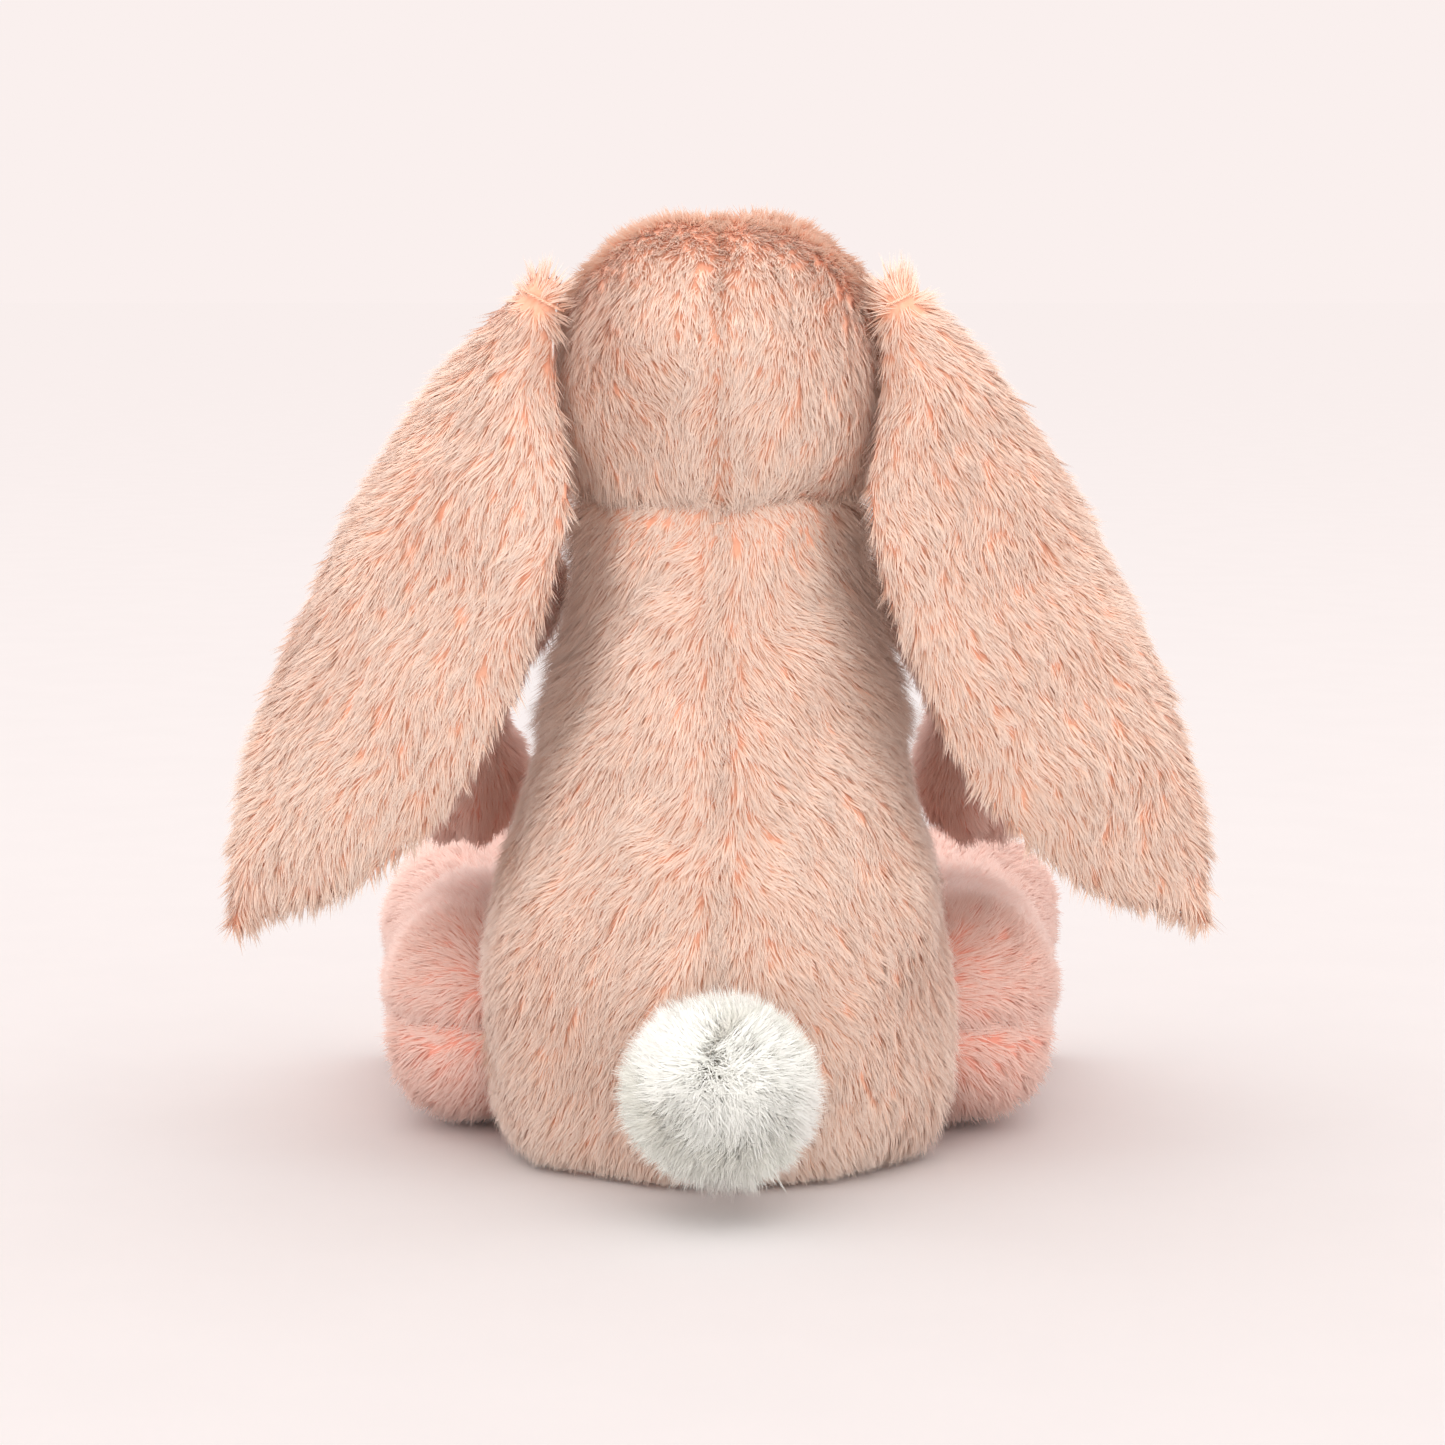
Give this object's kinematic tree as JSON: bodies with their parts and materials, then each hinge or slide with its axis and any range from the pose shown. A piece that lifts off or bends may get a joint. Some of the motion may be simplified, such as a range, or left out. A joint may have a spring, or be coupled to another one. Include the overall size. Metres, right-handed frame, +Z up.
{
  "type": "stuffed bunny rabbit",
  "caption": "Sitting plush rabbit with long hanging ears, soft arms and legs that swing, and a round pompom tail.",
  "frame": {"origin": "on the floor, on the flat seat, in the plane of symmetry", "axes": "+Z up, the rabbit faces -Y, its left side is +X"},
  "size_m": [0.2054, 0.1912, 0.201],
  "materials": {
    "plush": "long pile",
    "limb_plush": "long pile",
    "short_plush": "short pile",
    "tail_plush": "long fluffy pile",
    "filling": "loose fibre",
    "pouch_cloth": "plain weave",
    "thread": "matte",
    "mouth_thread": "matte",
    "nose": "satin",
    "eye": "gloss",
    "washer": "matte",
    "beads": "matte"
  },
  "bodies": {
    "torso": {"body_back_left": "plush", "body_back_right": "plush", "belly": "plush", "seat": "plush", "body_filling": "filling", "seat_pouch": "pouch_cloth", "seat_beads": "beads", "back_thread": "thread", "neck_thread": "thread", "arm_thread_left": "thread", "arm_thread_right": "thread", "tail_thread": "thread"},
    "head": {"head_back_left": "plush", "head_back_right": "plush", "face_left": "plush", "face_right": "plush", "forehead": "plush", "head_filling": "filling", "muzzle": "short_plush", "nose": "nose", "mouth_thread": "mouth_thread", "eye_left": "eye", "eye_right": "eye", "eye_washers": "washer"},
    "ear_left": {"ear_back_left": "plush", "ear_lining_left": "short_plush", "ear_wadding_left": "filling", "ear_thread_left": "thread"},
    "arm_left": {"arm_outer_left": "limb_plush", "arm_inner_left": "limb_plush", "arm_filling_left": "filling"},
    "leg_left": {"leg_upper_left": "limb_plush", "leg_lower_left": "limb_plush", "sole_left": "short_plush", "leg_filling_left": "filling", "foot_beads_left": "beads"},
    "ear_right": {"ear_back_right": "plush", "ear_lining_right": "short_plush", "ear_wadding_right": "filling", "ear_thread_right": "thread"},
    "arm_right": {"arm_outer_right": "limb_plush", "arm_inner_right": "limb_plush", "arm_filling_right": "filling"},
    "leg_right": {"leg_upper_right": "limb_plush", "leg_lower_right": "limb_plush", "sole_right": "short_plush", "leg_filling_right": "filling", "foot_beads_right": "beads"},
    "tail": {"tail_cover": "tail_plush", "tail_filling": "filling"}
  },
  "joints": [
    {"name": "neck_nod", "type": "hinge", "parent": "torso", "child": "head", "pos_m": [0, 0, 0.118], "axis": [1, 0, 0], "range_deg": [-6, 18]},
    {"name": "ear_left_lift", "type": "hinge", "parent": "head", "child": "ear_left", "pos_m": [0.0345, 0.013, 0.18588], "axis": [0, -1, 0], "range_deg": [0, 100]},
    {"name": "arm_left_raise", "type": "hinge", "parent": "torso", "child": "arm_left", "pos_m": [0.04637, -0.013, 0.121], "axis": [-1, 0, 0], "range_deg": [0, 100]},
    {"name": "leg_left_lower", "type": "hinge", "parent": "torso", "child": "leg_left", "pos_m": [0.045, -0.03, 0.026], "axis": [1, 0, 0], "range_deg": [0, 75]},
    {"name": "ear_right_lift", "type": "hinge", "parent": "head", "child": "ear_right", "pos_m": [-0.0345, 0.013, 0.18588], "axis": [0, 1, 0], "range_deg": [0, 100]},
    {"name": "arm_right_raise", "type": "hinge", "parent": "torso", "child": "arm_right", "pos_m": [-0.04637, -0.013, 0.121], "axis": [-1, 0, 0], "range_deg": [0, 100]},
    {"name": "leg_right_lower", "type": "hinge", "parent": "torso", "child": "leg_right", "pos_m": [-0.045, -0.03, 0.026], "axis": [1, 0, 0], "range_deg": [0, 75]},
    {"name": "tail_lift", "type": "hinge", "parent": "torso", "child": "tail", "pos_m": [0, 0.045, 0.026], "axis": [1, 0, 0], "range_deg": [0, 12], "stiffness_Nm_per_rad": 0.02}
  ]
}
